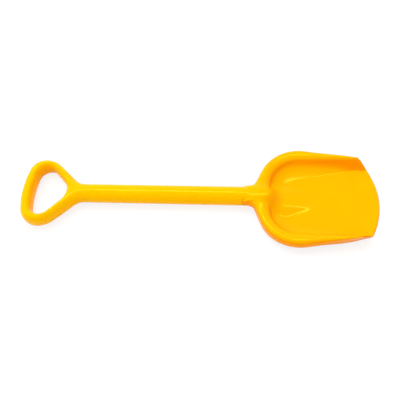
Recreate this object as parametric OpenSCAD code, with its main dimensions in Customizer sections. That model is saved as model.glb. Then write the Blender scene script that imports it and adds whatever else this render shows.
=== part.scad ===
// Sand shovel of half a metre: pan-shaped scoop, tubular shaft and hollow D grip.
// +X runs from the grip to the tip of the scoop, +Z is up, and z = 0 is the ground it lies on.
// The origin is under the middle of the overall length.

/* [Overall] */
// Length from the grip's cross bar to the scoop's tip
overall_l = 500; // [470:5:560]

/* [Shaft] */
// Outer diameter of the shaft, neck and nose
shaft_d = 26; // [24:0.5:28]
// Wall of the shaft tube
shaft_wall = 2.2; // [1.8:0.1:2.8]

/* [Scoop] */
// Largest width over the rim
scoop_w = 149.3; // [142:0.1:158]
// Width over the rim where the side walls end
scoop_end_w = 125.3; // [122:0.1:128]
// From the walls' end on the rim to the tip
front_l = 26; // [22:1:32]
// How far the walls' ends lean back from foot to rim
rake_l = 14.5; // [10:0.5:17]
// Height of the rim above the ground
rim_h = 21.1; // [20:0.1:23]
// Wall of the scoop
pan_wall = 2.4; // [2:0.1:2.8]
// Plan radius of the rear corners
corner_r = 56; // [52:1:60]
// Plan radius between the neck and the rim
neck_r = 14; // [12:1:18]
// Width of the rolled rim round the back
rim_w = 14; // [12:0.5:16]
// Width of the rim where the side walls end
end_rim_w = 2; // [1.6:0.1:3]
// From the rear corners' centres to the tip
corner_l = 108.8; // [104:0.2:114]
// Slope of the rim's rear edge in plan
back_slope = 67; // [64:1:70]
// Plan radius of the flat floor's rear edge
floor_r = 35; // [32:0.5:38]
// Length of the hollow behind the floor, at the nose
back_fillet = 13.4; // [11:0.2:16]
// Outward slope of the floor's side edges in plan
floor_spread = 14.6; // [13.6:0.2:15.4]
// Width of the hollow beside the floor where the walls end
end_fillet = 10.2; // [10:0.2:12]
// Height of the skirt's lower edge above the ground
lip_h = 8.7; // [7.5:0.1:9.5]
// Its height where the walls end
end_lip_h = 0.9; // [0.6:0.1:1.4]
// How far the skirt's foot leans in round the back
skirt_lean = 0.6; // [0.2:0.2:1.6]
// How far the skirt's foot leans in where the walls end
end_lean = 9.7; // [8.3:0.1:9.8]

/* [Ramp behind the nose] */
// Half width of the ramp's flat top
ramp_half_w = 11; // [8:0.5:13]
// Height of the ramp at the nose
ramp_h = 5.5; // [4:0.5:7]
// Length of the ramp in front of the nose
ramp_l = 44; // [36:1:52]
// Slope of the ramp's flanks
flank_slope = 17; // [14:1:22]

/* [Grip] */
// Length of the grip to its seam with the shaft
grip_l = 94; // [93:1:100]
// Width over the cross bar
grip_w = 102.4; // [98:0.5:110]
// Thickness of the grip
grip_t = 25; // [24:0.5:26]
// Width of the cross bar
bar_w = 15; // [14:0.5:17]
// Width of the hand opening
hole_w = 76.2; // [74:0.2:78]
// Bow radius of the cross bar's outer edge
bar_r = 140; // [120:5:180]
// Bow radius of the cross bar's inner edge
hole_bar_r = 150; // [130:5:180]
// Outer corner radius in plan, beside the cross bar
grip_corner_r = 24; // [22:0.5:26]
// Outer corner radius in plan, beside the arm
arm_corner_r = 34; // [30:0.5:36]
// Corner radius of the hand opening
hole_corner_r = 14; // [12:0.5:16]
// Radius of the hand opening's end at the fork
hole_end_r = 24; // [22:0.5:26]
// Slope of the arms' outer edges
arm_slope = 42.8; // [42:0.2:44]
// Slope of the arms' inner edges
hole_slope = 47; // [46:0.5:49]
// Plan radius between the arms and the shaft
fork_r = 22; // [20:1:24]
// Rounding of the ring's outer edges
edge_out = 6.5; // [5.5:0.5:7.5]
// Rounding of the ring's inner edges
edge_in = 5.4; // [4.6:0.2:6]
// Wall of the grip shells
grip_wall = 2.2; // [1.8:0.1:2.4]

/* [Joints] */
// Length of each spigot inside the shaft
spigot_l = 35; // [30:1:42]
// Wall of the spigots
spigot_wall = 2.6; // [2.2:0.1:3.2]
// Radial gap between spigot and shaft
fit_gap = 0.1; // [0.05:0.05:0.2]
// Hairline gap between pieces that butt
seam_gap = 0.15; // [0.1:0.05:0.3]
// Diameter of the locking pegs
peg_d = 5; // [4:0.5:6]
// Diameter of a peg's countersunk head
peg_head_d = 7.4; // [7:0.2:8]
// Length of a peg beyond its head
peg_l = 8; // [7:0.5:9]
// Diameter of the locating pins between the grip halves
pin_d = 3; // [2.6:0.2:3.4]
// How far a locating pin reaches into the other half
pin_reach = 5; // [4:0.5:6]
// Wall round a locating pin's socket
boss_wall = 1.2; // [1:0.1:1.4]

/* [Hidden] */
yellow = [0.98, 0.75, 0.0];
$fn = 96;

// Overrun of cuts past the faces they open
over = 1;
shaft_r = shaft_d / 2;
axis_z = shaft_r;
tip_x = overall_l / 2;
bar_x = -overall_l / 2;
spigot_r = shaft_r - shaft_wall - fit_gap;
peg_gap = 0.1;
peg_sink = 0.2;
head_h = 1.2;
slit_w = 0.8;

// Plan outline helpers
function polar(a) = [cos(a), sin(a)];
function arc(c, r, a0, a1, n) = [for (i = [0 : n]) c + r * polar(a0 + (a1 - a0) * i / n)];
function seg(p, q, n) = [for (i = [0 : n]) p + (q - p) * i / n];
function tail(l) = [for (i = [1 : len(l) - 1]) l[i]];
function unit(v) = v / norm(v);
function mix(a, b, t) = a + (b - a) * t;
function clamp(v, lo, hi) = max(lo, min(hi, v));
function smooth(t) = let (u = clamp(t, 0, 1)) u * u * (3 - 2 * u);
function mirror_y(p) = [p[0], -p[1], p[2]];

// Scoop outline, half of it: outer edge of the rim, from the neck to the walls' end
end_a = [tip_x - front_l, scoop_end_w / 2];
corner_y = scoop_w / 2 - corner_r;
corner_c = [tip_x - corner_l, corner_y];
to_corner = corner_c - end_a;
side_a = 360 + atan2(to_corner[1], to_corner[0]) - acos(-corner_r / norm(to_corner));
side_n = polar(side_a);
back_n = polar(90 + back_slope);
corner_start = corner_c + corner_r * back_n;
neck_bite = 1;
neck_y = shaft_r - neck_bite + neck_r;
neck_x = corner_start[0] + (neck_r - (neck_y - corner_start[1]) * back_n[1]) / back_n[0];
neck_c = [neck_x, neck_y];
seam_lead = 5;
neck_seam_x = neck_x - seam_lead;

// Stations along each stretch of the half outline
n_stub = 3;
n_neck = 4;
n_back = 3;
n_corner = 12;
n_side = 10;
outline_a = concat(
    seg([neck_x, 0], [neck_x, neck_y - neck_r], n_stub),
    tail(arc(neck_c, neck_r, -90, back_slope - 90, n_neck)),
    tail(seg(neck_c - neck_r * back_n, corner_start, n_back)),
    tail(arc(corner_c, corner_r, 90 + back_slope, side_a, n_corner)),
    tail(seg(corner_c + corner_r * side_n, end_a, n_side)));

// Inner edge of the rim
inner_r = corner_r - rim_w;
end_b = [end_a[0], end_a[1] - end_rim_w];
inner_x = corner_c[0] - inner_r;
inner_turn = 25;
outline_b = concat(
    seg([inner_x, 0], [inner_x, corner_y], n_stub + n_neck),
    tail(arc(corner_c, inner_r, 180, 180 - inner_turn, n_back)),
    tail(arc(corner_c, inner_r, 180 - inner_turn, 90, n_corner)),
    tail(seg(corner_c + [0, inner_r], end_b, n_side)));

// Edge of the flat floor
floor_x = inner_x + back_fillet;
floor_c = [floor_x + floor_r, 0];
neck_turn = 15;
back_turn = 30;
floor_t = floor_c + floor_r * polar(90 + floor_spread);
function floor_side(i) =
    let (x = mix(floor_t[0], end_b[0], i / n_side),
         edge = mix(corner_c[1] + inner_r, end_b[1], i / n_side) - end_fillet)
    [x, min(floor_t[1] + (x - floor_t[0]) * tan(floor_spread), edge)];
outline_f = concat(
    arc(floor_c, floor_r, 180, 180 - neck_turn, n_stub + n_neck),
    tail(arc(floor_c, floor_r, 180 - neck_turn, 180 - back_turn, n_back)),
    tail(arc(floor_c, floor_r, 180 - back_turn, 90 + floor_spread, n_corner)),
    [for (i = [1 : n_side]) floor_side(i)]);
stations = len(outline_a) - 1;
side_start = stations - n_side;
floor_from = n_stub + n_neck;
function side_share(i) = max(0, (i - side_start) / n_side);
function corner_share(i) = clamp((i - floor_from) / (side_start - floor_from), 0, 1);

// Rim section: outer round, inner round, and the hollow down to the floor
outer_round_w = 6;
outer_round_h = 7;
outer_round_share = 0.45;
neck_round_w = 14;
inner_round_w = 8;
inner_round_h = 4.4;
back_round_w = 11;
back_round_h = 8.5;
inner_round_share = 0.95;
inner_round_steep = 2;
side_slack = 9.6;
back_slack = 9;
foot_slope_share = 0.22;
back_slope_share = 0.4;
foot_power = 3.4;
skirt_wall = 2.2;
solid_foot_w = 1;
groove_round = 0.8;
groove_end_share = 0.42;
groove_fade_share = 0.3;
lip_fall_from = 0.2;
lip_fall_share = 0.55;
rim_drop_share = 0.05;
rim_drop_from = 0.4;
lean_power = 1.5;
n_skirt = 2;
n_outer = 3;
n_inner = 4;
n_fillet = 7;
band = n_skirt + n_outer + 1 + n_inner + n_fillet;

// Height of the ramp above the floor, negative outside it
ramp_x = floor_x + ramp_l;
function ramp(p) =
    let (h = min(ramp_h, (ramp_x - p[0]) * ramp_h / ramp_l))
    min(h, h - (abs(p[1]) - ramp_half_w) * tan(flank_slope));

// Larger of two heights, with the crease between them rounded over
crease = 2;
function soft_max(a, b) = max(a, b) + pow(max(0, crease - abs(a - b)), 2) / (4 * crease);

// Height share of the hollow at an angle: a steep wall that runs out into a slight slope
function fillet_share(f, soft) =
    mix(1 - pow(1 - pow(sin(f), foot_power), 1 / foot_power), sin(f),
        mix(foot_slope_share, back_slope_share, soft));

// Sizes of a rib's two roundings: [outer width, outer height, inner width, inner height]
function roundings(l1, near, soft) =
    let (ro = min(outer_round_w, l1 * outer_round_share),
         b1 = min(mix(inner_round_w, back_round_w, soft), (l1 - ro) * inner_round_share))
    [min(mix(ro, neck_round_w, near), (l1 - b1) * inner_round_share),
     ro * outer_round_h / outer_round_w,
     b1,
     min(mix(inner_round_h, back_round_h, soft), b1 * inner_round_steep)];

// One rib from the skirt's foot to the floor's edge, as distance from the outer edge and height
function rib_top(l1, l2, top, lean, slack, foot, near, soft) =
    let (r = roundings(l1, near, soft),
         brow = top - r[1],
         b1 = r[2],
         b2 = r[3],
         tilt = lean + slack)
    concat(
        [for (k = [0 : n_skirt]) let (z = mix(foot, brow, k / n_skirt)) [lean * (1 - z / top), z]],
        [for (k = [1 : n_outer]) let (z = mix(brow, top, sin(90 * k / n_outer)))
            [r[0] * (1 - cos(90 * k / n_outer)) + lean * (1 - z / top), z]],
        [for (k = [0 : n_inner]) let (z = top - b2 + b2 * cos(90 * k / n_inner))
            [l1 - b1 + b1 * sin(90 * k / n_inner) + tilt * (1 - z / top), z]],
        [for (k = [1 : n_fillet]) let (f = 90 * (1 - k / n_fillet),
                z = pan_wall + (top - b2 - pan_wall) * fillet_share(f, soft))
            [l1 + tilt * (1 - z / top) + (l2 - tilt) * (1 - sin(f)), z]]);

// Its underside, with the groove behind the skirt, which closes to a solid wall towards the tip
function rib_under(l1, l2, top, lean, slack, foot, lip, near, soft, open) =
    let (r = roundings(l1, near, soft),
         roof = top - pan_wall,
         brow = max(foot + groove_round, roof - r[1]),
         rw = max(groove_round, min(r[0], l1 - r[2]) - skirt_wall),
         b1 = max(r[2] - pan_wall, over),
         b2 = max(r[3] - pan_wall, over),
         far = l1 - pan_wall,
         tilt = lean + slack,
         deep = concat(
            [for (k = [0 : n_skirt]) let (z = mix(foot, brow, k / n_skirt))
                [skirt_wall + lean * (1 - z / top), z]],
            [for (k = [1 : n_outer]) let (z = mix(brow, roof, sin(90 * k / n_outer)))
                [skirt_wall + rw * (1 - cos(90 * k / n_outer)) + lean * (1 - z / top), z]],
            [for (k = [0 : n_inner]) let (z = roof - b2 + b2 * cos(90 * k / n_inner))
                [far - b1 + b1 * sin(90 * k / n_inner) + tilt * (1 - z / top), z]],
            [for (k = [1 : n_fillet]) let (f = 90 * (1 - k / n_fillet), z = (roof - b2) * fillet_share(f, soft))
                [far + tilt * (1 - z / top) + (l2 + pan_wall - tilt) * (1 - sin(f)), z]]),
         start = lean * (1 - lip / top) + min(solid_foot_w, (l1 + l2 - lean) / 2))
    [for (k = [0 : band]) mix(
        [mix(start, l1 + l2, k / band), lip * (1 - k / band)],
        deep[k], open)];

// Rise of the rim beside the shaft
swell_y = 18;
swell_slope = 0.2;
function swell(p, z) =
    max(0, swell_y - abs(p[1])) * swell_slope * clamp((z - axis_z) / (rim_h - axis_z), 0, 1);

// A rib's points in space, raked towards the walls' end, and lifted by the ramp
neck_foot = axis_z - 2 * over;
function rib_points(i, side, under) =
    let (e = side_share(i),
         a = outline_a[i],
         b = outline_b[i],
         f = outline_f[i],
         l1 = norm(b - a),
         l2 = norm(f - b),
         near = 1 - smooth((i - n_stub) / (n_neck + n_back)),
         soft = 1 - smooth((i - floor_from) / (n_back + n_corner)),
         top = rim_h * (1 - rim_drop_share * pow(max(0, 1 - (1 - e) / rim_drop_from), 2)),
         lean = mix(skirt_lean * corner_share(i), end_lean, pow(e, lean_power)),
         slack = mix(side_slack, back_slack, soft) * (1 - e),
         lip = mix(lip_h, end_lip_h, smooth((e - lip_fall_from) / lip_fall_share)),
         foot = mix(lip, neck_foot, near),
         open = 1 - smooth((e - groove_end_share) / groove_fade_share),
         rib = under ?
             rib_under(l1, l2, top, lean, slack, foot, lip, near, soft, open) :
             rib_top(l1, l2, top, lean, slack, foot, near, soft),
         base = under ? 0 : pan_wall)
    [for (q = rib) let (
            d = q[0],
            p = d < l1 ? a + unit(b - a) * d : b + unit(f - b) * (d - l1),
            z = d > l1 ? soft_max(q[1], base + ramp(p)) : q[1])
        [p[0] + e * rake_l * (1 - z / rim_h), side * p[1], z + swell(p, z)]];

// The floor, row by row from one floor edge to the other, with columns along the ramp's edges
n_across = 2 * floor_from;
n_top = 2;
n_foot = 4;
nose_bulge = front_l - rake_l;
widest_top_share = 0.6;
least_foot_share = 0.2;
widest_foot_share = 0.8;
function across(j, edge, x) =
    let (top = min(ramp_half_w, edge * widest_top_share),
         h = max(0, ramp([x, 0])),
         reach = clamp((ramp_half_w - top + h / tan(flank_slope)) / (edge - top), least_foot_share,
             widest_foot_share),
         foot = mix(top, edge, reach))
    j <= n_top ? top * j / n_top :
    j <= n_foot ? mix(top, foot, (j - n_top) / (n_foot - n_top)) :
    mix(foot, edge, (j - n_foot) / (floor_from - n_foot));
function floor_points(i, under) =
    let (e = side_share(i), f = outline_f[i], base = under ? 0 : pan_wall)
    [for (k = [1 : n_across - 1]) let (
            y = sign(floor_from - k) * across(abs(floor_from - k), f[1], f[0]),
            bow = e * nose_bulge * (1 - pow(y / f[1], 2)),
            z = base + soft_max(0, ramp([f[0] + bow, y])))
        [f[0] + bow + e * rake_l * (1 - z / rim_h), y, z]];

ribs = 2 * stations + 1;
row = band + 1;
band_top = [for (m = [-stations : stations]) for (p = rib_points(abs(m), m < 0 ? -1 : 1, false)) p];
band_under = [for (m = [-stations : stations]) for (p = rib_points(abs(m), m < 0 ? -1 : 1, true)) p];
floor_top = [for (i = [floor_from + 1 : stations]) for (p = floor_points(i, false)) p];
floor_under = [for (i = [floor_from + 1 : stations]) for (p = floor_points(i, true)) p];
in_row = n_across - 1;

// Where each point sits in the list of the whole pan
under_at = ribs * row;
floor_at = 2 * ribs * row;
floor_under_at = floor_at + (stations - floor_from) * in_row;
function at_band(m, k, under) = (under ? under_at : 0) + (m + stations) * row + k;
function at_floor(i, k, under) =
    i == floor_from ? at_band(floor_from - k, band, under) :
    k == 0 ? at_band(i, band, under) :
    k == n_across ? at_band(-i, band, under) :
    (under ? floor_under_at : floor_at) + (i - floor_from - 1) * in_row + k - 1;

// Faces, clockwise as seen from outside
function quad(a, b, c, d, flip) = flip ? [[a, b, c], [a, c, d]] : [[c, b, a], [d, c, a]];
function band_quad(m, k, u) =
    quad(at_band(m, k, u), at_band(m, k + 1, u), at_band(m + 1, k + 1, u), at_band(m + 1, k, u), u);
function floor_quad(i, k, u) =
    quad(at_floor(i, k, u), at_floor(i, k + 1, u), at_floor(i + 1, k + 1, u), at_floor(i + 1, k, u), u);
function skirt_edge(m) =
    quad(at_band(m, 0, false), at_band(m + 1, 0, false), at_band(m + 1, 0, true), at_band(m, 0, true), false);
function front_edge(k) =
    quad(at_floor(stations, k, false), at_floor(stations, k + 1, false),
        at_floor(stations, k + 1, true), at_floor(stations, k, true), false);
function end_cap(m) = concat(
    [for (k = [0 : band - 1]) [at_band(m, k, true), at_band(m, k + 1, true), at_band(m, band, false)]],
    [for (k = [0 : band - 1]) [at_band(m, 0, true), at_band(m, k + 1, false), at_band(m, k, false)]]);
pan_faces = concat(
    [for (u = [false, true]) for (m = [-stations : stations - 1]) for (k = [0 : band - 1])
        for (t = band_quad(m, k, u)) t],
    [for (u = [false, true]) for (i = [floor_from : stations - 1]) for (k = [0 : n_across - 1])
        for (t = floor_quad(i, k, u)) t],
    [for (m = [-stations : stations - 1]) for (t = skirt_edge(m)) t],
    [for (k = [0 : n_across - 1]) for (t = front_edge(k)) t],
    end_cap(stations),
    [for (t = end_cap(-stations)) [t[2], t[1], t[0]]]);

// Neck, nose and spigot: one turned shape along the shaft's axis
nose_back = 4.6;
nose_x = inner_x - nose_back;
nose_steps = 9;
neck_bore_x = neck_x - neck_bite;
module neck() {
    profile = concat(
        [[spigot_r - spigot_wall, neck_seam_x - spigot_l],
         [spigot_r, neck_seam_x - spigot_l],
         [spigot_r, neck_seam_x],
         [shaft_r, neck_seam_x]],
        [for (q = arc([0, nose_x], shaft_r, 0, 90, nose_steps)) q],
        [[0, neck_bore_x], [spigot_r - spigot_wall, neck_bore_x]]);
    translate([0, 0, axis_z])
        rotate([0, 90, 0])
            rotate_extrude() polygon(profile);
}

// Pegs that go up through the shaft's underside at a place along the axis
peg_inset = spigot_l / 2;
scoop_peg_x = neck_seam_x - peg_inset;
grip_seam_x = bar_x + grip_l;
grip_peg_x = grip_seam_x + peg_inset;
module peg_hole(x) {
    translate([x, 0, -over]) cylinder(d = peg_d + 2 * peg_gap, h = axis_z);
}
module peg_seat(x) {
    translate([x, 0, 0]) rotate_extrude() polygon([
        [0, -over],
        [peg_head_d / 2 + peg_gap, -over],
        [peg_head_d / 2 + peg_gap, peg_sink],
        [peg_d / 2 + peg_gap, peg_sink + head_h],
        [peg_d / 2 + peg_gap, axis_z],
        [0, axis_z]]);
}
module peg(x) {
    translate([x, 0, peg_sink]) difference() {
        rotate_extrude() polygon([
            [0, 0],
            [peg_head_d / 2, 0],
            [peg_d / 2, head_h],
            [peg_d / 2, peg_l - 2 * head_h],
            [peg_d / 2 + peg_gap, peg_l - head_h],
            [peg_d / 2 - head_h / 2, peg_l],
            [0, peg_l]]);
        translate([-slit_w / 2, -peg_d, peg_l / 2]) cube([slit_w, 2 * peg_d, peg_l]);
    }
}

// Grip outline: edge lines as stations [outer point, inner point, outer edge, inner edge]
outer_bar_c = [bar_r, 0];
outer_y = grip_w / 2 - grip_corner_r;
outer_c = [bar_r - sqrt(pow(bar_r - grip_corner_r, 2) - pow(outer_y, 2)), outer_y];
outer_bar_a = 180 - asin(outer_y / (bar_r - grip_corner_r));
arm_n = polar(90 - arm_slope);
arm_c = outer_c + [0, grip_corner_r - arm_corner_r];
arm_from = arm_c + arm_corner_r * arm_n;
fork_y = shaft_r + fork_r;
fork_c = [arm_c[0] + (arm_corner_r + fork_r - (fork_y - arm_c[1]) * arm_n[1]) / arm_n[0], fork_y];
arm_to = fork_c - fork_r * arm_n;
hole_bar_c = [bar_w + hole_bar_r, 0];
hole_y = hole_w / 2 - hole_corner_r;
hole_c = [hole_bar_c[0] - sqrt(pow(hole_bar_r - hole_corner_r, 2) - pow(hole_y, 2)), hole_y];
hole_bar_a = 180 - asin(hole_y / (hole_bar_r - hole_corner_r));
hole_n = polar(90 - hole_slope);
hole_from = hole_c + hole_corner_r * hole_n;
hole_end_c = [(hole_c * hole_n + hole_corner_r - hole_end_r) / hole_n[0], 0];
hole_to = hole_end_c + hole_end_r * hole_n;

// How far inside an edge a point lies: arcs as [centre, radius, sign], lines as [point, normal]
function inside(edge, p) =
    len(edge) == 3 ? edge[2] * (edge[1] - norm(p - edge[0])) : (edge[0] - p) * edge[1];
outer_bar_e = [outer_bar_c, bar_r, 1];
outer_corner_e = [outer_c, grip_corner_r, 1];
arm_corner_e = [arm_c, arm_corner_r, 1];
arm_e = [arm_from, arm_n];
fork_e = [fork_c, fork_r, -1];
shaft_e = [[0, shaft_r], [0, 1]];
hole_bar_e = [hole_bar_c, hole_bar_r, -1];
hole_corner_e = [hole_c, hole_corner_r, -1];
hole_arm_e = [hole_from, -hole_n];
hole_end_e = [hole_end_c, hole_end_r, -1];
function stretch(o, i, oe, ie) = [for (k = [0 : len(o) - 1]) [o[k], i[k], oe, ie]];
n_bar = 5;
n_bend = 5;
n_arm_bend = 4;
n_arm = 5;
n_fork = 5;
n_stem = 2;
n_seam = 4;
hole_bend_a = 90;
hole_fork_a = 90 - hole_slope;
hole_stem_a = hole_fork_a / 2;
hole_seam_a = hole_fork_a / 3;
half_stations = concat(
    stretch(arc(outer_bar_c, bar_r, 180, outer_bar_a, n_bar),
        arc(hole_bar_c, hole_bar_r, 180, hole_bar_a, n_bar), outer_bar_e, hole_bar_e),
    tail(stretch(arc(outer_c, grip_corner_r, outer_bar_a, 90, n_bend),
        arc(hole_c, hole_corner_r, hole_bar_a, hole_bend_a, n_bend), outer_corner_e, hole_corner_e)),
    tail(stretch(arc(arm_c, arm_corner_r, 90, 90 - arm_slope, n_arm_bend),
        arc(hole_c, hole_corner_r, hole_bend_a, hole_fork_a, n_arm_bend), arm_corner_e, hole_corner_e)),
    tail(stretch(seg(arm_from, arm_to, n_arm), seg(hole_from, hole_to, n_arm), arm_e, hole_arm_e)),
    tail(stretch(arc(fork_c, fork_r, 270 - arm_slope, 270, n_fork),
        arc(hole_end_c, hole_end_r, hole_fork_a, hole_stem_a, n_fork), fork_e, hole_end_e)),
    tail(stretch(seg([fork_c[0], shaft_r], [grip_l, shaft_r], n_stem),
        arc(hole_end_c, hole_end_r, hole_stem_a, hole_seam_a, n_stem), shaft_e, hole_end_e)),
    tail(stretch(seg([grip_l, shaft_r], [grip_l, 0], n_seam),
        arc(hole_end_c, hole_end_r, hole_seam_a, 0, n_seam), shaft_e, hole_end_e)));
half_n = len(half_stations) - 1;
seam_from = half_n - n_seam;
ring_n = 2 * half_n;

// Section of the grip: rounded over both edges, and fully round at the shaft
fork_from = hole_to[0];
ring_power = 2.8;
round_power = 2;
function to_shaft(x) = smooth((x - fork_from) / (fork_c[0] - fork_from));
function bulge(s, p) = pow(1 - pow(1 - clamp(s, 0, 1), p), 1 / p);
function grip_z(p, oe, ie, inset) =
    let (q = [p[0], abs(p[1])],
         t = to_shaft(q[0]),
         power = mix(ring_power, round_power, t),
         ro = mix(edge_out, shaft_r, t),
         rise = mix(grip_t / 2, shaft_r, t) - seam_gap / 2 - inset)
    rise * bulge((inside(oe, q) - inset) / (ro - inset), power)
         * bulge((inside(ie, q) - inset) / (edge_in - inset), power);

// Shares along a rib, closer together over its rounded ends
n_edge = 5;
n_flat = 2;
n_rib = 2 * n_edge + n_flat;
widest_edge_share = 0.45;
function rib_share(k, l, seam) =
    let (ro = min(edge_out / l, widest_edge_share),
         ri = min(edge_in / l, widest_edge_share))
    k == 0 ? 0 :
    seam ? (k - 1) / (n_rib - 1) :
    k <= n_edge ? ro * (1 - cos(90 * k / n_edge)) :
    k <= n_edge + n_flat ? mix(ro, 1 - ri, (k - n_edge) / n_flat) :
    1 - ri * (1 - cos(90 * (n_rib - k) / n_edge));
function grip_rib(s, inset, seam) =
    let (o = s[0],
         i = s[1],
         l = norm(i - o),
         from = o + unit(i - o) * inset,
         to = i - unit(i - o) * inset)
    [for (k = [0 : n_rib]) let (
            p = from + (to - from) * rib_share(k, l, seam),
            z = k == 0 || k == n_rib ? 0 : grip_z(p, s[2], s[3], inset))
        [p[0], p[1], z]];
function ring_rib(m, inset) =
    let (i = m <= half_n ? m : ring_n - m,
         rib = grip_rib(half_stations[i], inset, i > seam_from))
    [for (p = rib) m <= half_n ? p : mirror_y(p)];
shell_points = [for (m = [0 : ring_n - 1]) for (p = concat(ring_rib(m, 0),
    let (r = ring_rib(m, grip_wall)) [for (k = [n_rib : -1 : 0]) r[k]])) p];
loop_n = 2 * (n_rib + 1);
shell_faces = [for (m = [0 : ring_n - 1]) for (k = [0 : loop_n - 1])
    let (a = m * loop_n + k,
         b = m * loop_n + (k + 1) % loop_n,
         c = ((m + 1) % ring_n) * loop_n + (k + 1) % loop_n,
         d = ((m + 1) % ring_n) * loop_n + k)
    for (t = quad(a, b, c, d, false)) t];

// Locating posts between the halves: one in each corner and one in the fork
post_d = pin_d + 2 * boss_wall;
corner_post = (outer_c + grip_corner_r * [0, 1] + hole_c + hole_corner_r * [0, 1]) / 2;
fork_post = [(hole_end_c[0] + hole_end_r + fork_c[0]) / 2, 0];
posts = [corner_post, [corner_post[0], -corner_post[1]], fork_post];
post_h = (grip_t - seam_gap - grip_wall) / 2;

// One half of the grip with its parting face at z = 0
module half_grip() {
    translate([bar_x, 0, 0]) {
        polyhedron(shell_points, shell_faces, convexity = 6);
        for (p = posts) translate(p) cylinder(d = post_d, h = post_h);
    }
    difference() {
        translate([grip_seam_x - grip_wall / 2, 0, -seam_gap / 2])
            rotate([0, 90, 0]) cylinder(r = spigot_r, h = spigot_l + grip_wall / 2);
        translate([grip_seam_x - grip_wall, 0, -seam_gap / 2])
            rotate([0, 90, 0]) cylinder(r = spigot_r - spigot_wall, h = spigot_l + grip_wall + over);
        translate([grip_seam_x - over - grip_wall, -shaft_d, -shaft_d])
            cube([spigot_l + grip_wall + 2 * over, 2 * shaft_d, shaft_d]);
    }
}

module scoop() {
    color(yellow) difference() {
        union() {
            polyhedron(concat(band_top, band_under, floor_top, floor_under), pan_faces, convexity = 8);
            neck();
        }
        peg_hole(scoop_peg_x);
    }
}

module shaft() {
    from = grip_seam_x + seam_gap;
    to = neck_seam_x - seam_gap;
    color(yellow) difference() {
        translate([from, 0, axis_z]) rotate([0, 90, 0]) cylinder(r = shaft_r, h = to - from);
        translate([from - over, 0, axis_z])
            rotate([0, 90, 0]) cylinder(r = shaft_r - shaft_wall, h = to - from + 2 * over);
        for (x = [scoop_peg_x, grip_peg_x]) peg_seat(x);
    }
}

module grip_upper_half() {
    color(yellow) translate([0, 0, axis_z + seam_gap / 2]) difference() {
        half_grip();
        for (p = posts) translate([bar_x + p[0], p[1], -over])
            cylinder(d = pin_d + 2 * fit_gap, h = pin_reach + 2 * over);
    }
}

module grip_lower_half() {
    color(yellow) difference() {
        translate([0, 0, axis_z - seam_gap / 2]) {
            mirror([0, 0, 1]) half_grip();
            for (p = posts) translate([bar_x + p[0], p[1], -post_h])
                cylinder(d = pin_d, h = post_h + pin_reach);
        }
        peg_hole(grip_peg_x);
    }
}

module scoop_peg() {
    color(yellow) peg(scoop_peg_x);
}

module grip_peg() {
    color(yellow) peg(grip_peg_x);
}

scoop();
shaft();
grip_upper_half();
grip_lower_half();
scoop_peg();
grip_peg();
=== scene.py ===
import bmesh
import bpy
import numpy as np
from mathutils import Matrix, Vector


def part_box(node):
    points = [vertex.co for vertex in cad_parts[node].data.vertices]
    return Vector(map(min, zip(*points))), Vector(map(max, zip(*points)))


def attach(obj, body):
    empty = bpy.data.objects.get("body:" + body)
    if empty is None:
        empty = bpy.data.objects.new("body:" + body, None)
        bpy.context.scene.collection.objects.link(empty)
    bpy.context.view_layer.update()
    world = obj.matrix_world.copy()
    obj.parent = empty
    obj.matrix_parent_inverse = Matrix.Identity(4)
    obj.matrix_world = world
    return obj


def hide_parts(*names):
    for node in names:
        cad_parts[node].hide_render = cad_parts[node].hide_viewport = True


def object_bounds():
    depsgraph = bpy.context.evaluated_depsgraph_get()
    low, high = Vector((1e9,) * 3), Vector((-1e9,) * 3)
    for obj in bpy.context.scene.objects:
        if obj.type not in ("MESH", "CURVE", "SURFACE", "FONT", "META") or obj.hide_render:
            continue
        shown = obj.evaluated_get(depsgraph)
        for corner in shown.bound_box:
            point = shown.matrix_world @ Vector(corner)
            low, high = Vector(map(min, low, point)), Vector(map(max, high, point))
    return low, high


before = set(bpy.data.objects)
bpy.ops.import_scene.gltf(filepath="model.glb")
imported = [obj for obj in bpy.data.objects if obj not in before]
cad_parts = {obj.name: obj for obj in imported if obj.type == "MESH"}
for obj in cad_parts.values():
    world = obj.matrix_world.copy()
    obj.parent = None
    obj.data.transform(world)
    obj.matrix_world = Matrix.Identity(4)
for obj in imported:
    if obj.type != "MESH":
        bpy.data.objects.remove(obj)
cad_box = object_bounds()

# All lengths are in metres, in the frame of the CAD model: +X to the scoop's tip, +Z up, z = 0 the ground
MM = 0.001

# Shaft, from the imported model
shaft_lo, shaft_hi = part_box("shaft")
SHAFT_R = (shaft_hi.z - shaft_lo.z) / 2
AXIS_Z = (shaft_hi.z + shaft_lo.z) / 2
BUTT_GAP = 0.02 * MM
NECK_SEAM_X = shaft_hi.x + BUTT_GAP
GRIP_SEAM_X = shaft_lo.x - BUTT_GAP

# Scoop, plan sizes
TIP_X = cad_box[1].x
SCOOP_W = cad_box[1].y - cad_box[0].y
END_W = 125.3 * MM
FRONT_L = 26 * MM
RAKE_L = 14.5 * MM
RIM_H = 21.1 * MM
PAN_WALL = 2.4 * MM
CORNER_R = 56 * MM
RIM_W = 14 * MM
END_RIM_W = 2.2 * MM
CORNER_L = 108.8 * MM
BACK_SLOPE = np.radians(67)
INNER_TURN = np.radians(25)
NECK_LEAVE_SHARE = 0.38
NECK_PULL_SHARE = 0.74
FLOOR_R = 35 * MM
BACK_FILLET = 13.4 * MM
FLOOR_SPREAD = np.radians(14.6)
END_FILLET = 10.2 * MM
FLOOR_NECK_TURN = np.radians(15)
FLOOR_BACK_TURN = np.radians(30)
FLOOR_EDGE_BLEND = 1.5 * MM

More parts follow.
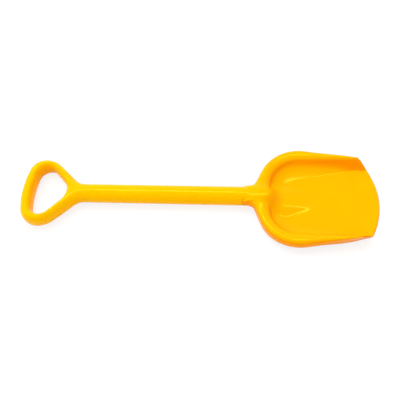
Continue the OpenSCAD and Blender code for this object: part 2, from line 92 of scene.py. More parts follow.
# Scoop, section of the rim and of the hollow: W and H are a rounding's width and height, a slack is how
# far the inner wall leans in towards the floor, and a power above 2 makes the hollow's foot tighter than
# an ellipse. Names with BACK are for behind the pan, and names with END for where the side walls end
OUTER_ROUND_W = 6 * MM
OUTER_ROUND_H = 7 * MM
OUTER_ROUND_SHARE = 0.45
NECK_ROUND_W = 16 * MM
INNER_ROUND_W = 8 * MM
INNER_ROUND_H = 4.4 * MM
BACK_ROUND_W = 11 * MM
BACK_ROUND_H = 8.5 * MM
SIDE_SLACK = 9.6 * MM
BACK_SLACK = 9 * MM
INNER_ROUND_SHARE = 0.95
INNER_ROUND_STEEP = 2
FOOT_SLOPE_SHARE = 0.22
BACK_SLOPE_SHARE = 0.4
FOOT_POWER = 3.4
BACK_POWER = 2.2

# Height of the skirt's lower edge, and how it falls along the side walls
LIP_Z = 8.7 * MM
END_LIP_Z = 0.9 * MM
BACK_LIP_Z = 5 * MM
LIP_FALL_FROM = 0.2
LIP_FALL_SHARE = 0.55

# Lean of the skirt and the walls, drop of the rim, and the groove behind the skirt
SKIRT_LEAN = 0.6 * MM
END_LEAN = 9.7 * MM
LEAN_POWER = 1.25
SKIRT_WALL = 2.2 * MM
NECK_STEP = 2.0 * MM
RIM_DROP_SHARE = 0.05
RIM_DROP_FROM = 0.4
GROOVE_ROUND = 0.8 * MM
GROOVE_END_SHARE = 0.42
GROOVE_FADE_SHARE = 0.3
SOLID_FOOT_W = 1 * MM
LEAST_ROUND = 1 * MM
ROUND_FIT_SHARE = 0.95

# Ramp behind the nose
RAMP_HALF_W = 11 * MM
RAMP_H = 5.5 * MM
RAMP_L = 44 * MM
FLANK = np.tan(np.radians(17))
RAMP_BLEND = 0.9 * MM
HOLLOW_BLEND = 2.2 * MM
HOLLOW_FADE_W = 8 * MM

# Nose and neck: a round bar that melts into the pan, and the rounding of the walls' ends
NOSE_X = 94 * MM
NOSE_STEEP = np.radians(48)
NOSE_BLEND = 6 * MM
CREST_BLEND = 2 * MM
UNDER_BLEND = 4 * MM
BLEND_REACH = 16 * MM
SIDE_REACH = 12 * MM
EDGE_REACH = 8 * MM
SWELL_H = 2.8 * MM
SWELL_Y = 28 * MM
END_ROUND = 5 * MM
FOOT_ROUND = 4.5 * MM
ROUND_FROM = 0.7
UPRIGHT = np.pi / 2 * 0.999

# Spigot that goes into the shaft
SPIGOT_L = 35 * MM
SPIGOT_R = 10.7 * MM
SPIGOT_WALL = 2.6 * MM
SPIGOT_BORE_PAST = 3 * MM

# Stations along half of the outline, and points along a rib
N_STUB = 8
N_NECK = 12
N_BACK = 8
N_CORNER = 30
N_SIDE = 30
N_SKIRT = 5
N_OUTER = 7
N_INNER = 7
N_FILLET = 18
BAND = N_SKIRT + N_OUTER + 1 + N_INNER + N_FILLET
STATIONS = N_STUB + N_NECK + N_BACK + N_CORNER + N_SIDE
SIDE_START = STATIONS - N_SIDE
FLOOR_FROM = N_STUB + N_NECK
N_ACROSS = 2 * FLOOR_FROM


# Small helpers on plan points and numbers
def polar(angle):
    return np.array([np.cos(angle), np.sin(angle)])


def arc(centre, radius, start, end, count):
    turn = np.linspace(start, end, count + 1)
    return np.asarray(centre) + radius * np.stack([np.cos(turn), np.sin(turn)], 1)


def segment(start, end, count):
    along = np.linspace(0, 1, count + 1)[:, None]
    return (1 - along) * np.asarray(start) + along * np.asarray(end)


def mix(a, b, t):
    return a + (b - a) * t


def smooth(t):
    t = np.clip(t, 0, 1)
    return t * t * (3 - 2 * t)


# Keeps a division by a length of zero out
TINY = 1e-18


def soft_max(a, b, width):
    # Larger of two heights, rounded over where they cross
    near = np.maximum(0, width - np.abs(a - b))
    return np.maximum(a, b) + near ** 2 / (4 * np.maximum(width, TINY))


def soft_min(a, b, width):
    return -soft_max(-a, -b, width)


# Plan outlines of the scoop's half: outer edge, inner edge of the rim, edge of the floor
end_a = np.array([TIP_X - FRONT_L, END_W / 2])
corner_c = np.array([TIP_X - CORNER_L, SCOOP_W / 2 - CORNER_R])
to_corner = corner_c - end_a
to_corner_l = np.linalg.norm(to_corner)
side_angle = 2 * np.pi + np.arctan2(to_corner[1], to_corner[0]) - np.arccos(-CORNER_R / to_corner_l)
back_normal = polar(np.pi / 2 + BACK_SLOPE)
corner_start = corner_c + CORNER_R * back_normal
end_b = end_a - [0, END_RIM_W]
inner_r = CORNER_R - RIM_W
inner_x = corner_c[0] - inner_r
floor_x = inner_x + BACK_FILLET
floor_c = np.array([floor_x + FLOOR_R, 0])
floor_t = floor_c + FLOOR_R * polar(np.pi / 2 + FLOOR_SPREAD)
ramp_x = floor_x + RAMP_L


def neck_curve():
    # From the seam along the shaft's side and round into the rear edge, with the tangents of both
    start = np.array([NECK_SEAM_X, SHAFT_R])
    along_back = np.array([back_normal[1], -back_normal[0]])
    reach = (corner_start[1] - SHAFT_R) / along_back[1]
    knee = corner_start - along_back * reach
    leave = knee + along_back * NECK_LEAVE_SHARE * reach
    t = np.linspace(0, 1, N_NECK + 1)[:, None]
    pull_a = mix(start, knee, NECK_PULL_SHARE)
    pull_b = mix(leave, knee, NECK_PULL_SHARE)
    first = (1 - t) ** 3 * start + 3 * t * (1 - t) ** 2 * pull_a
    return first + 3 * t * t * (1 - t) * pull_b + t ** 3 * leave


def outer_edge():
    turn = np.linspace(0, np.pi / 2, N_STUB + 1)
    stub = np.stack([np.full(N_STUB + 1, NECK_SEAM_X), SHAFT_R * np.sin(turn)], 1)
    neck = neck_curve()
    back = segment(neck[-1], corner_start, N_BACK)
    corner = arc(corner_c, CORNER_R, np.pi / 2 + BACK_SLOPE, side_angle, N_CORNER)
    side = segment(corner[-1], end_a, N_SIDE)
    return np.concatenate([stub, neck[1:], back[1:], corner[1:], side[1:]])


def inner_edge():
    stub = segment([inner_x, 0], [inner_x, corner_c[1]], FLOOR_FROM)
    back = arc(corner_c, inner_r, np.pi, np.pi - INNER_TURN, N_BACK)
    corner = arc(corner_c, inner_r, np.pi - INNER_TURN, np.pi / 2, N_CORNER)
    side = segment(corner[-1], end_b, N_SIDE)
    return np.concatenate([stub, back[1:], corner[1:], side[1:]])


def floor_edge():
    stub = arc(floor_c, FLOOR_R, np.pi, np.pi - FLOOR_NECK_TURN, FLOOR_FROM)
    back = arc(floor_c, FLOOR_R, np.pi - FLOOR_NECK_TURN, np.pi - FLOOR_BACK_TURN, N_BACK)
    corner = arc(floor_c, FLOOR_R, np.pi - FLOOR_BACK_TURN, np.pi / 2 + FLOOR_SPREAD, N_CORNER)
    t = np.linspace(0, 1, N_SIDE + 1)[1:]
    x = mix(floor_t[0], end_b[0], t)
    wall = mix(corner_c[1] + inner_r, end_b[1], t) - END_FILLET
    line = floor_t[1] + (x - floor_t[0]) * np.tan(FLOOR_SPREAD)
    side = np.stack([x, soft_min(line, wall, FLOOR_EDGE_BLEND)], 1)
    return np.concatenate([stub, back[1:], corner[1:], side])


def ramp(x, y):
    # Height of the ramp above the floor, negative outside it
    h = np.minimum(RAMP_H, (ramp_x - x) * RAMP_H / RAMP_L)
    return soft_min(h, h - (np.abs(y) - RAMP_HALF_W) * FLANK, RAMP_BLEND)


def bar_height(x, y):
    # Half height of the neck and nose at a plan point: round, and a steady slope beyond its shoulder.
    # The slope is almost upright at the seam, where the neck is as round as the shaft
    steep = mix(UPRIGHT, NOSE_STEEP, np.clip((x - NECK_SEAM_X) / SIDE_REACH, 0, 1))
    r = np.hypot(np.maximum(0, x - NOSE_X), y)
    shoulder = SHAFT_R * np.sin(steep)
    on_round = np.sqrt(np.maximum(0, SHAFT_R ** 2 - np.minimum(r, shoulder) ** 2))
    return on_round - np.maximum(0, r - shoulder) * np.tan(steep)


def rib_arrays():
    # Shares along every rib, as arrays [station, point]
    i = np.arange(STATIONS + 1)[:, None]
    near = 1 - smooth((i - N_STUB) / (N_NECK + N_BACK))
    end = np.maximum(0, (i - SIDE_START) / N_SIDE)
    return i, near, end


def along_rib(d, l1):
    # Plan point at a distance along a rib, whose first leg is l1 long
    a, b, f = outer_edge(), inner_edge(), floor_edge()
    unit_ab = (b - a) / np.linalg.norm(b - a, axis=1)[:, None]
    unit_bf = (f - b) / np.linalg.norm(f - b, axis=1)[:, None]
    first = a[:, None, :] + unit_ab[:, None, :] * d[:, :, None]
    second = b[:, None, :] + unit_bf[:, None, :] * (d - l1)[:, :, None]
    return np.where((d < l1)[:, :, None], first, second)


def roundings(l1, near, soft, wall, inset):
    # Width of the outer rounding before and after the inset, then width and height of the inner one
    ro = np.minimum(OUTER_ROUND_W, l1 * OUTER_ROUND_SHARE)
    b1 = np.minimum(mix(INNER_ROUND_W, BACK_ROUND_W, soft), (l1 - ro) * INNER_ROUND_SHARE)
    room = (l1 - b1 - inset) * ROUND_FIT_SHARE
    rw = np.minimum(mix(np.maximum(ro - inset, GROOVE_ROUND), NECK_ROUND_W, near), room)
    b2 = np.minimum(mix(INNER_ROUND_H, BACK_ROUND_H, soft), b1 * INNER_ROUND_STEEP)
    return ro, rw, np.maximum(b1 - wall, LEAST_ROUND), np.maximum(b2 - wall, LEAST_ROUND)


def foot_share(turn, soft):
    # Share of the hollow's height along its foot
    power = mix(FOOT_POWER, BACK_POWER, soft)
    round_share = 1 - (1 - np.sin(turn) ** power) ** (1 / power)
    return mix(round_share, np.sin(turn), mix(FOOT_SLOPE_SHARE, BACK_SLOPE_SHARE, soft))


def close_groove(d, z, lean, lip, legs, end):
    # Towards the tip the groove behind the skirt closes, and the underside turns flat
    open_share = 1 - smooth((end - GROOVE_END_SHARE) / GROOVE_FADE_SHARE)
    k = np.arange(BAND + 1)[None, :] / BAND
    flat_d = mix(lean + np.minimum(SOLID_FOOT_W, (legs - lean) / 2), legs, k)
    return mix(flat_d, d, open_share), mix(lip * (1 - k), z, open_share)


def rib_section(under):
    # Distance along the rib and height, for every station and every point of a rib
    i, near, end = rib_arrays()
    a, b, f = outer_edge(), inner_edge(), floor_edge()
    l1 = np.linalg.norm(b - a, axis=1)[:, None]
    l2 = np.linalg.norm(f - b, axis=1)[:, None]
    drop = np.maximum(0, 1 - (1 - end) / RIM_DROP_FROM)
    top = RIM_H * (1 - RIM_DROP_SHARE * drop ** 2)
    corner = np.clip((i - FLOOR_FROM) / (SIDE_START - FLOOR_FROM), 0, 1)
    lean = mix(SKIRT_LEAN * corner, END_LEAN, end ** LEAN_POWER) * (1 - near)
    soft = 1 - smooth((i - FLOOR_FROM) / (N_BACK + N_CORNER))
    lip = mix(LIP_Z, END_LIP_Z, smooth((end - LIP_FALL_FROM) / LIP_FALL_SHARE))
    lip = mix(lip, BACK_LIP_Z, soft)
    foot = mix(lip, AXIS_Z, near)
    inset = SKIRT_WALL * (1 - near) if under else np.zeros_like(near)
    wall = PAN_WALL if under else 0
    base = 0 if under else PAN_WALL
    roof = top - wall
    far = l1 - wall
    ro, rw, b1, b2 = roundings(l1, near, soft, wall, inset)
    skirt_top = mix(top - ro * OUTER_ROUND_H / OUTER_ROUND_W, AXIS_Z, near) - wall * (1 - near)
    step = near * NECK_STEP

    def outer_z(d):
        turn = np.sqrt(np.maximum(0, 1 - (1 - np.clip(d / rw, 0, 1)) ** 2))
        return skirt_top + (roof - skirt_top) * turn

    k = np.arange(N_SKIRT + 1)[None, :] / N_SKIRT
    z_skirt = mix(foot, outer_z(step), k)
    d_skirt = lean * (1 - z_skirt / top) + step * k
    k = np.arange(1, N_OUTER + 1)[None, :] / N_OUTER
    d_outer = step + (rw - step) * (1 - np.cos(np.pi / 2 * k))
    z_outer = outer_z(d_outer)
    d_outer = d_outer + lean * (1 - z_outer / top)
    k = np.arange(0, N_INNER + 1)[None, :] / N_INNER
    z_inner = roof - b2 + b2 * np.cos(np.pi / 2 * k)
    slack = mix(SIDE_SLACK, BACK_SLACK, soft) * (1 - end)
    d_inner = far - b1 + b1 * np.sin(np.pi / 2 * k) + (lean + slack) * (1 - z_inner / top)
    turn = np.pi / 2 * (1 - np.arange(1, N_FILLET + 1)[None, :] / N_FILLET)
    z_fillet = base + (roof - b2 - base) * foot_share(turn, soft)
    d_fillet = far + (lean + slack) * (1 - z_fillet / top) + (l2 + wall - lean - slack) * (1 - np.sin(turn))
    d = np.concatenate([inset + d_skirt, inset + d_outer, d_inner, d_fillet], 1)
    z = np.concatenate([z_skirt, z_outer, z_inner, z_fillet], 1)
    if under:
        d, z = close_groove(d, z, lean, lip, l1 + l2, end)
    return d, z, l1, d - lean * (1 - z / top)


def blend_nose(x, y, z, d, under):
    # The neck and nose stand out of the pan's top and underside, with rounded feet
    fade = smooth(d / EDGE_REACH) * smooth((x - NECK_SEAM_X) / BLEND_REACH)
    bar = bar_height(x, y)
    if under:
        return soft_min(z, AXIS_Z - bar, UNDER_BLEND * fade)
    return soft_max(z, AXIS_Z + bar, NOSE_BLEND * fade)


def swell(y, z):
    # Rise of the rim beside the shaft
    return SWELL_H * smooth(1 - np.abs(y) / SWELL_Y) * smooth((z - AXIS_Z) / (RIM_H - AXIS_Z))


def quarter_round(depth, radius):
    # How far a face draws back beside a rounded edge, at a depth from that edge
    return radius * (1 - np.sqrt(1 - np.clip(1 - depth / radius, 0, 1) ** 2))


def rake(z, end, depth):
    # The walls' ends lean back, and their crest and outer edge are rounded
    crest = RIM_H * (1 - RIM_DROP_SHARE)
    back = np.maximum(quarter_round(crest - z, END_ROUND), quarter_round(depth, FOOT_ROUND))
    return end * RAKE_L * (1 - z / RIM_H) - back * smooth((end - ROUND_FROM) / (1 - ROUND_FROM))


def band_points(under):
    d, z, l1, depth = rib_section(under)
    _, _, end = rib_arrays()
    p = along_rib(d, l1)
    x, y = p[:, :, 0], p[:, :, 1]
    base = 0 if under else PAN_WALL
    hollow = soft_max(z, base + ramp(x, y), HOLLOW_BLEND)
    z = mix(z, hollow, smooth((d - l1 + HOLLOW_FADE_W / 2) / HOLLOW_FADE_W))
    z = z + swell(y, z)
    z = blend_nose(x, y, z, d, under)
    z[N_STUB, 0] = AXIS_Z
    crest = np.full_like(z, 2 * AXIS_Z)
    z = soft_min(z, crest, CREST_BLEND * smooth((x - NECK_SEAM_X) / BLEND_REACH))
    x = x + rake(z, end, depth)
    return np.stack([x, y, z], 2)


def floor_points(under):
    # Rows across the floor, from the right edge to the left one
    _, _, end = rib_arrays()
    base = 0 if under else PAN_WALL
    share = np.linspace(1, -1, N_ACROSS + 1)[1:-1]
    rows = []
    for i, f in list(enumerate(floor_edge()))[FLOOR_FROM + 1:]:
        e = end[i, 0]
        y = f[1] * share
        bow = e * (FRONT_L - RAKE_L) * (1 - share ** 2)
        x = f[0] + bow
        z = base + soft_max(np.zeros_like(y), ramp(x, y), RAMP_BLEND)
        z = blend_nose(x, y, z, np.full_like(y, BLEND_REACH), under)
        x = x + rake(z, e, FOOT_ROUND)
        rows.append(np.stack([x, y, z], 1))
    return np.array(rows)


# Edges sharper than this stay sharp, and points nearer than this are one
SHARP = np.radians(40)
WELD = 0.002 * MM


class Builder:
    # Gathers points and faces of one mesh
    def __init__(self):
        self.points = []
        self.faces = []

    def add(self, points):
        start = len(self.points)
        self.points.extend(map(tuple, points))
        return np.arange(start, start + len(points))

    def grid(self, ids, flip=False):
        for row, following in zip(ids[:-1], ids[1:]):
            for a, b, c, d in zip(row[:-1], row[1:], following[1:], following[:-1]):
                self.face([a, b, c, d], flip)

    def tube(self, rings):
        # A grid whose rows close on themselves
        self.grid(np.array([np.append(ring, ring[0]) for ring in rings]))

    def face(self, corners, flip=False):
        order = list(dict.fromkeys(int(c) for c in corners))
        if len(order) > 2:
            self.faces.append(order[::-1] if flip else order)

    def to_object(self, name):
        mesh = bpy.data.meshes.new(name)
        mesh.from_pydata(self.points, [], self.faces)
        piece = bpy.data.objects.new(name, mesh)
        bpy.context.scene.collection.objects.link(piece)
        bm = bmesh.new()
        bm.from_mesh(mesh)
        bmesh.ops.remove_doubles(bm, verts=bm.verts, dist=WELD)
        bmesh.ops.dissolve_degenerate(bm, edges=bm.edges, dist=WELD)
        bmesh.ops.recalc_face_normals(bm, faces=bm.faces)
        loose = [v for v in bm.verts if not v.link_faces]
        bmesh.ops.delete(bm, geom=loose, context="VERTS")
        bm.to_mesh(mesh)
        bm.free()
        mesh.shade_smooth()
        mesh.set_sharp_from_angle(angle=SHARP)
        return piece


def mirrored(points):
    return points * np.array([1, -1, 1])


def make_scoop():
    build = Builder()
    sheets = []
    for under in (False, True):
        half = band_points(under)
        both = np.concatenate([mirrored(half[:0:-1]), half])
        ids = np.array([build.add(rib) for rib in both])
        floor = floor_points(under)
        middle = STATIONS
        rows = [ids[middle + FLOOR_FROM:middle - FLOOR_FROM - 1:-1, -1]]
        for n, row in enumerate(floor):
            i = FLOOR_FROM + 1 + n
            rows.append(np.concatenate([[ids[middle + i, -1]], build.add(row), [ids[middle - i, -1]]]))
        rows = np.array(rows)
        build.grid(ids, under)
        build.grid(rows, under)
        sheets.append((ids, rows))
    (top, top_rows), (low, low_rows) = sheets
    left, right = STATIONS + N_STUB, STATIONS - N_STUB
    build.grid(np.array([top[left:, 0], low[left:, 0]]))
    build.grid(np.array([top[:right + 1, 0], low[:right + 1, 0]]))
    build.grid(np.array([top[0], low[0]]))
    build.grid(np.array([top[-1], low[-1]]))
    build.grid(np.array([top_rows[-1], low_rows[-1]]))
    add_spigot(build, np.concatenate([top[right:left + 1, 0], low[left - 1:right:-1, 0]]))
    return build.to_object("scoop_skin")


def add_spigot(build, seam):
    # Closes the neck at the seam with the hollow spigot that goes into the shaft
    around = np.array([build.points[n] for n in seam])
    turn = np.arctan2(around[:, 2] - AXIS_Z, around[:, 1])
    bore = SPIGOT_R - SPIGOT_WALL
    rings = [seam]
    for radius, x in [(SPIGOT_R, NECK_SEAM_X), (SPIGOT_R, NECK_SEAM_X - SPIGOT_L),
                      (bore, NECK_SEAM_X - SPIGOT_L), (bore, NECK_SEAM_X + SPIGOT_BORE_PAST)]:
        ring = np.stack([np.full_like(turn, x), radius * np.cos(turn), AXIS_Z + radius * np.sin(turn)], 1)
        rings.append(build.add(ring))
    build.tube(rings)
    build.face(rings[-1])


# Grip, plan sizes and section
BAR_X = cad_box[0].x
GRIP_L = GRIP_SEAM_X - BAR_X
GRIP_W = 102.4 * MM
GRIP_T = 25 * MM
BAR_W = 15.7 * MM
HOLE_W = 76.2 * MM
BAR_BOW_R = 140 * MM
HOLE_BOW_R = 150 * MM
GRIP_CORNER_R = 24 * MM
HOLE_CORNER_R = 14 * MM
HOLE_END_R = 24 * MM
ARM_CORNER_R = 34 * MM
ARM_SLOPE = np.radians(42.8)
HOLE_SLOPE = np.radians(47)
FORK_R = 22 * MM
EDGE_OUT = 8 * MM
EDGE_IN = 6.6 * MM
GRIP_WALL = 2.2 * MM
RING_POWER = 2.3
ROUND_POWER = 2
PAST_SEAM = 40 * MM
N_RIB = 26

# Stations along the grip's stretches: bar, corner, corner beside the arm, arm, fork, stem, seam
N_GRIP = (14, 14, 12, 14, 16, 8, 8)


def grip_outlines():
    # Half outlines from the middle of the bar to the middle of the seam: outer edge and hole edge
    outer_y = GRIP_W / 2 - GRIP_CORNER_R
    outer_c = np.array([BAR_BOW_R - np.sqrt((BAR_BOW_R - GRIP_CORNER_R) ** 2 - outer_y ** 2), outer_y])
    bar_angle = np.pi - np.arcsin(outer_c[1] / (BAR_BOW_R - GRIP_CORNER_R))
    arm_n = polar(np.pi / 2 - ARM_SLOPE)
    arm_c = outer_c + [0, GRIP_CORNER_R - ARM_CORNER_R]
    arm_from = arm_c + ARM_CORNER_R * arm_n
    fork_y = SHAFT_R + FORK_R
    fork_x = arm_c[0] + (ARM_CORNER_R + FORK_R - (fork_y - arm_c[1]) * arm_n[1]) / arm_n[0]
    fork_c = np.array([fork_x, fork_y])
    arm_to = fork_c - FORK_R * arm_n
    hole_bar_x = BAR_W + HOLE_BOW_R
    hole_y = HOLE_W / 2 - HOLE_CORNER_R
    hole_c = np.array([hole_bar_x - np.sqrt((HOLE_BOW_R - HOLE_CORNER_R) ** 2 - hole_y ** 2), hole_y])
    hole_angle = np.pi - np.arcsin(hole_c[1] / (HOLE_BOW_R - HOLE_CORNER_R))
    hole_n = polar(np.pi / 2 - HOLE_SLOPE)
    hole_from = hole_c + HOLE_CORNER_R * hole_n
    hole_end_c = np.array([(hole_c @ hole_n + HOLE_CORNER_R - HOLE_END_R) / hole_n[0], 0])
    hole_to = hole_end_c + HOLE_END_R * hole_n
    bar, bend, arm_bend, arm, fork, stem, seam = N_GRIP
    fork_a = np.pi / 2 - HOLE_SLOPE
    stem_a = fork_a / 2
    seam_a = fork_a / 3
    outer = [arc([BAR_BOW_R, 0], BAR_BOW_R, np.pi, bar_angle, bar),
             arc(outer_c, GRIP_CORNER_R, bar_angle, np.pi / 2, bend)[1:],
             arc(arm_c, ARM_CORNER_R, np.pi / 2, np.pi / 2 - ARM_SLOPE, arm_bend)[1:],
             segment(arm_from, arm_to, arm)[1:],
             arc(fork_c, FORK_R, 3 * np.pi / 2 - ARM_SLOPE, 3 * np.pi / 2, fork)[1:],
             segment([fork_c[0], SHAFT_R], [GRIP_L, SHAFT_R], stem)[1:],
             segment([GRIP_L, SHAFT_R], [GRIP_L, 0], seam)[1:]]
    hole = [arc([hole_bar_x, 0], HOLE_BOW_R, np.pi, hole_angle, bar),
            arc(hole_c, HOLE_CORNER_R, hole_angle, np.pi / 2, bend)[1:],
            arc(hole_c, HOLE_CORNER_R, np.pi / 2, fork_a, arm_bend)[1:],
            segment(hole_from, hole_to, arm)[1:],
            arc(hole_end_c, HOLE_END_R, fork_a, stem_a, fork)[1:],
            arc(hole_end_c, HOLE_END_R, stem_a, seam_a, stem)[1:],
            arc(hole_end_c, HOLE_END_R, seam_a, 0, seam)[1:]]
    return np.concatenate(outer), np.concatenate(hole), fork_x, hole_to[0], seam


def edge_distance(points, line):
    # Least distance of plan points from a polyline
    a, b = line[:-1], line[1:]
    ab = b - a
    length2 = np.maximum((ab ** 2).sum(1), TINY)
    t = np.clip(((points[:, None, :] - a[None]) * ab[None]).sum(2) / length2[None], 0, 1)
    near = a[None] + ab[None] * t[:, :, None]
    return np.linalg.norm(points[:, None, :] - near, axis=2).min(1)


def bulge(share, power):
    return (1 - (1 - np.clip(share, 0, 1)) ** power) ** (1 / power)


def grip_ribs(inset):
    # Ribs of a half shell's skin, or with an inset of the hollow inside it, as heights above the parting
    outer, hole, fork_x, fork_from, n_seam = grip_outlines()
    outside = np.concatenate([outer[:-n_seam], [[outer[-1][0] + PAST_SEAM, SHAFT_R]]])
    outside = np.concatenate([outside * [1, -1], outside[::-1]])
    rim_hole = np.concatenate([hole, hole[::-1] * [1, -1]])
    seam_from = len(outer) - 1 - n_seam
    ribs = []
    for m, (o, h) in enumerate(zip(outer, hole)):
        unit = (h - o) / np.linalg.norm(h - o)
        t = (1 - np.cos(np.linspace(0, np.pi, N_RIB + 1))) / 2
        if m > seam_from:
            t = np.linspace(0, 1, N_RIB + 1)
        p = (o + unit * inset) + (h - o - 2 * unit * inset) * t[:, None]
        d_out = edge_distance(p, outside) - inset
        d_in = edge_distance(p, rim_hole) - inset
        to_shaft = smooth((p[:, 0] - fork_from) / (fork_x - fork_from))
        power = mix(RING_POWER, ROUND_POWER, to_shaft)
        ro = mix(EDGE_OUT, SHAFT_R, to_shaft) - inset
        rise = mix(GRIP_T / 2, SHAFT_R, to_shaft) - BUTT_GAP / 2 - inset
        z = rise * bulge(d_out / ro, power) * bulge(d_in / (EDGE_IN - inset), power)
        if m <= seam_from:
            z[0] = 0
        z[-1] = 0
        ribs.append(np.column_stack([p[:, 0] + BAR_X, p[:, 1], z]))
    return np.array(ribs)


def make_grip(name, side):
    # One half shell: the outer skin and the hollow inside it, joined round the parting
    skin, hollow = grip_ribs(0), grip_ribs(GRIP_WALL)
    half_n = len(skin) - 1
    build = Builder()
    rings = []
    for m in list(range(half_n + 1)) + list(range(half_n - 1, 0, -1)):
        flip_y = 1 if len(rings) <= half_n else -1
        loop = np.concatenate([skin[m], hollow[m][::-1]]) * [1, flip_y, side]
        rings.append(build.add(loop + [0, 0, AXIS_Z + side * BUTT_GAP / 2]))
    build.tube(rings + rings[:1])
    return build.to_object(name)


# Colours, each as the clean tone, the worn tone and the painted shade of steep faces: a deeper orange that
# stands in for the shade steep walls get
SCOOP_CLEAN = (1.0, 0.46, 0.0, 1)
SCOOP_WORN = (0.99, 0.44, 0.0, 1)
SCOOP_PAINTED_SHADE = (1.0, 0.33, 0.0, 1)
# The handle's tones are the scoop's yellow made lighter: painted light on the handle
HANDLE_CLEAN = (1.0, 0.5, 0.0, 1)
HANDLE_WORN = (0.99, 0.48, 0.0, 1)
HANDLE_PAINTED_SHADE = (1.0, 0.47, 0.0, 1)
NECK_TONE = (1.0, 0.49, 0.0, 1)

# Up part of a face's normal at which the painted shade starts, and at which it is full
SCOOP_SHADE_RANGE = (0.8, 0.42)
HANDLE_SHADE_RANGE = (0.6, 0.1)

# How far the handle's lighter tone, painted light, runs out along the neck
NECK_FADE_L = 32 * MM

# Surface of the moulded plastic
CLOUD_SCALE = 28
CLOUD_DETAIL = 3
CLOUD_RANGE = (0.3, 0.7)
GRAIN_SCALE = 900
GRAIN_DETAIL = 4
GRAIN_STRENGTH = 0.02
GRAIN_DEPTH = 0.2 * MM
ROUGH_RANGE = (0.12, 0.2)
PLASTIC_IOR = 1.49
GLOSS_LEVEL = 0.1
GLOSS_TINT = (1.0, 0.8, 0.03, 1)
DEPTH_SHARE = 0.2
DEPTH_RATIOS = (1.0, 0.5, 0.1)
DEPTH = 1.2 * MM


def wire(mat, node, inputs):
    # Sets the node's inputs, or joins them to the outputs of other nodes
    for label, value in inputs.items():
        if isinstance(value, bpy.types.NodeSocket):
            mat.node_tree.links.new(value, node.inputs[label])
        else:
            node.inputs[label].default_value = value


def add_node(mat, kind, inputs):
    node = mat.node_tree.nodes.new(kind)
    wire(mat, node, inputs)
    return node


def plastic(name, clean, worn, steep, shade_range, neck_tone=None):
    # Warm yellow moulded plastic, with painted shade: a deeper orange on steep faces
    mat = bpy.data.materials.new(name)
    mat.use_nodes = True
    coords = add_node(mat, "ShaderNodeTexCoord", {}).outputs["Object"]
    cloud = add_node(mat, "ShaderNodeTexNoise", {
        "Vector": coords, "Scale": CLOUD_SCALE, "Detail": CLOUD_DETAIL}).outputs["Fac"]
    tint = add_node(mat, "ShaderNodeValToRGB", {"Fac": cloud})
    for element, position, colour in zip(tint.color_ramp.elements, CLOUD_RANGE, (worn, clean)):
        element.position = position
        element.color = colour
    tone = tint.outputs["Color"]
    # Painted light: the neck fades from the handle's lighter tone into the scoop's
    if neck_tone:
        along = add_node(mat, "ShaderNodeSeparateXYZ", {"Vector": coords})
        fade = add_node(mat, "ShaderNodeMapRange", {
            "Value": along.outputs["X"], "From Min": NECK_SEAM_X, "From Max": NECK_SEAM_X + NECK_FADE_L})
        tone = add_node(mat, "ShaderNodeMixRGB", {
            "Fac": fade.outputs["Result"], "Color1": neck_tone, "Color2": tone}).outputs["Color"]
    # Painted shade: faces turn to the deeper orange tone by how steep their normal is
    place = add_node(mat, "ShaderNodeNewGeometry", {})
    slope = add_node(mat, "ShaderNodeSeparateXYZ", {"Vector": place.outputs["Normal"]})
    shade_mask = add_node(mat, "ShaderNodeMapRange", {
        "Value": slope.outputs["Z"], "From Min": shade_range[0], "From Max": shade_range[1]})
    painted_shade = add_node(mat, "ShaderNodeMixRGB", {
        "Fac": shade_mask.outputs["Result"], "Color1": tone, "Color2": steep})
    polish = add_node(mat, "ShaderNodeMapRange", {
        "Value": cloud, "To Min": ROUGH_RANGE[0], "To Max": ROUGH_RANGE[1]})
    grain = add_node(mat, "ShaderNodeTexNoise", {
        "Vector": coords, "Scale": GRAIN_SCALE, "Detail": GRAIN_DETAIL})
    bump = add_node(mat, "ShaderNodeBump", {
        "Height": grain.outputs["Fac"], "Strength": GRAIN_STRENGTH, "Distance": GRAIN_DEPTH})
    wire(mat, mat.node_tree.nodes["Principled BSDF"], {
        "Base Color": painted_shade.outputs["Color"],
        "Roughness": polish.outputs["Result"],
        "Normal": bump.outputs["Normal"],
        "IOR": PLASTIC_IOR,
        "Specular IOR Level": GLOSS_LEVEL,
        "Specular Tint": GLOSS_TINT,
        "Subsurface Weight": DEPTH_SHARE,
        "Subsurface Radius": DEPTH_RATIOS,
        "Subsurface Scale": DEPTH,
    })
    return mat


def dress(piece, mat):
    piece.data.materials.clear()
    piece.data.materials.append(mat)


# Floor: how much of it is plain white to each kind of ray, the rest shows the shadow
SEEN_SHARE = 0.8
GLOSS_SHARE = 0.3
WHITE = (1, 1, 1, 1)
WHITE_STRENGTH = 1.0
FLOOR_GREY = (0.9, 0.9, 0.9, 1)
FLOOR_ROUGH = 0.6
FLOOR_HALF = 3.0


def add_math(mat, operation, a, b):
    node = add_node(mat, "ShaderNodeMath", {0: a, 1: b})
    node.operation = operation
    return node.outputs[0]


def studio_white():
    # Pale grey that takes the shadow, mixed with plain white by the kind of ray
    mat = bpy.data.materials.new("studio_white")
    mat.use_nodes = True
    nodes = mat.node_tree.nodes
    wire(mat, nodes["Principled BSDF"], {"Base Color": FLOOR_GREY, "Roughness": FLOOR_ROUGH})
    glow = add_node(mat, "ShaderNodeEmission", {"Color": WHITE, "Strength": WHITE_STRENGTH})
    path = add_node(mat, "ShaderNodeLightPath", {})
    camera = add_math(mat, "MULTIPLY", path.outputs["Is Camera Ray"], SEEN_SHARE)
    glass = add_math(mat, "MULTIPLY", path.outputs["Is Transmission Ray"], SEEN_SHARE)
    gloss = add_math(mat, "MULTIPLY", path.outputs["Is Glossy Ray"], GLOSS_SHARE)
    shown = add_math(mat, "MAXIMUM", add_math(mat, "MAXIMUM", camera, glass), gloss)
    blend = add_node(mat, "ShaderNodeMixShader", {
        0: shown, 1: nodes["Principled BSDF"].outputs[0], 2: glow.outputs[0]})
    wire(mat, nodes["Material Output"], {"Surface": blend.outputs[0]})
    return mat


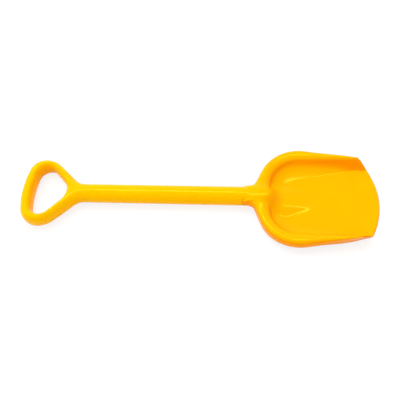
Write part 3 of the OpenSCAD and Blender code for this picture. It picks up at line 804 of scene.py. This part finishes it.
def make_floor():
    build = Builder()
    corners = [(-1, -1, 0), (1, -1, 0), (1, 1, 0), (-1, 1, 0)]
    build.face(build.add(FLOOR_HALF * np.array(corners)))
    floor = build.to_object("studio_floor")
    dress(floor, studio_white())


# Lamps as direction from the middle, distance, the two sides of the lamp, and power in watts
KEY = ((-0.4, 0.35, 0.85), 1.6, (1.2, 1.2), 17)
STREAK = ((0, 0.29, 0.956), 1.3, (1.2, 0.07), 30)
SKY_STRENGTH = 0.85


def add_area(name, direction, distance, size, power):
    lamp = bpy.data.lights.new(name, "AREA")
    lamp.shape = "RECTANGLE"
    lamp.size, lamp.size_y = size
    lamp.energy = power
    obj = bpy.data.objects.new(name, lamp)
    toward = Vector(direction).normalized()
    obj.location = toward * distance
    obj.rotation_euler = toward.to_track_quat("Z", "Y").to_euler()
    bpy.context.scene.collection.objects.link(obj)
    return obj


def make_light():
    world = bpy.data.worlds.new("studio")
    world.use_nodes = True
    sky = world.node_tree.nodes["Background"]
    sky.inputs["Color"].default_value = WHITE
    sky.inputs["Strength"].default_value = SKY_STRENGTH
    bpy.context.scene.world = world
    # The key lamp gives the shading, and the narrow one only the bright lines on the plastic
    add_area("key", *KEY).visible_glossy = False
    add_area("streak", *STREAK).visible_diffuse = False


# Camera, fitted to the photo's outline
CAMERA_AZIMUTH = np.radians(12.396)
CAMERA_ELEVATION = np.radians(59.265)
CAMERA_ROLL = np.radians(-9.569)
CAMERA_TARGET = (3.897 * MM, -0.023 * MM, 0)
CAMERA_DISTANCE = 811.81 * MM
SENSOR_W = 36
PICTURE_PX = 400
FOCAL_PX = 575.79
CLIP_START = 10 * MM


def make_camera():
    flat = np.cos(CAMERA_ELEVATION)
    back = Vector((np.sin(CAMERA_AZIMUTH) * flat, -np.cos(CAMERA_AZIMUTH) * flat, np.sin(CAMERA_ELEVATION)))
    right = Vector((np.cos(CAMERA_AZIMUTH), np.sin(CAMERA_AZIMUTH), 0))
    up = back.cross(right)
    x_axis = right * np.cos(CAMERA_ROLL) + up * np.sin(CAMERA_ROLL)
    y_axis = -right * np.sin(CAMERA_ROLL) + up * np.cos(CAMERA_ROLL)
    place = Vector(CAMERA_TARGET) + back * CAMERA_DISTANCE
    data = bpy.data.cameras.new("camera")
    data.sensor_width = SENSOR_W
    data.lens = FOCAL_PX / PICTURE_PX * SENSOR_W
    data.clip_start = CLIP_START
    camera = bpy.data.objects.new("camera", data)
    camera.matrix_world = Matrix.Translation(place) @ Matrix((x_axis, y_axis, back)).transposed().to_4x4()
    bpy.context.scene.collection.objects.link(camera)
    bpy.context.scene.camera = camera


make_camera()
scoop = make_scoop()
upper = make_grip("grip_upper_skin", 1)
lower = make_grip("grip_lower_skin", -1)
scoop_yellow = plastic("scoop_yellow", SCOOP_CLEAN, SCOOP_WORN, SCOOP_PAINTED_SHADE, SCOOP_SHADE_RANGE, NECK_TONE)
handle_yellow = plastic("handle_yellow", HANDLE_CLEAN, HANDLE_WORN, HANDLE_PAINTED_SHADE, HANDLE_SHADE_RANGE)
dress(scoop, scoop_yellow)
dress(upper, handle_yellow)
dress(lower, handle_yellow)
for piece, node in ((scoop, "scoop"), (upper, "grip_upper_half"), (lower, "grip_lower_half")):
    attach(piece, "root")
    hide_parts(node)
for node in ("shaft", "scoop_peg", "grip_peg"):
    dress(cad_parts[node], handle_yellow)

make_floor()
make_light()
bpy.context.scene.view_settings.view_transform = "Standard"
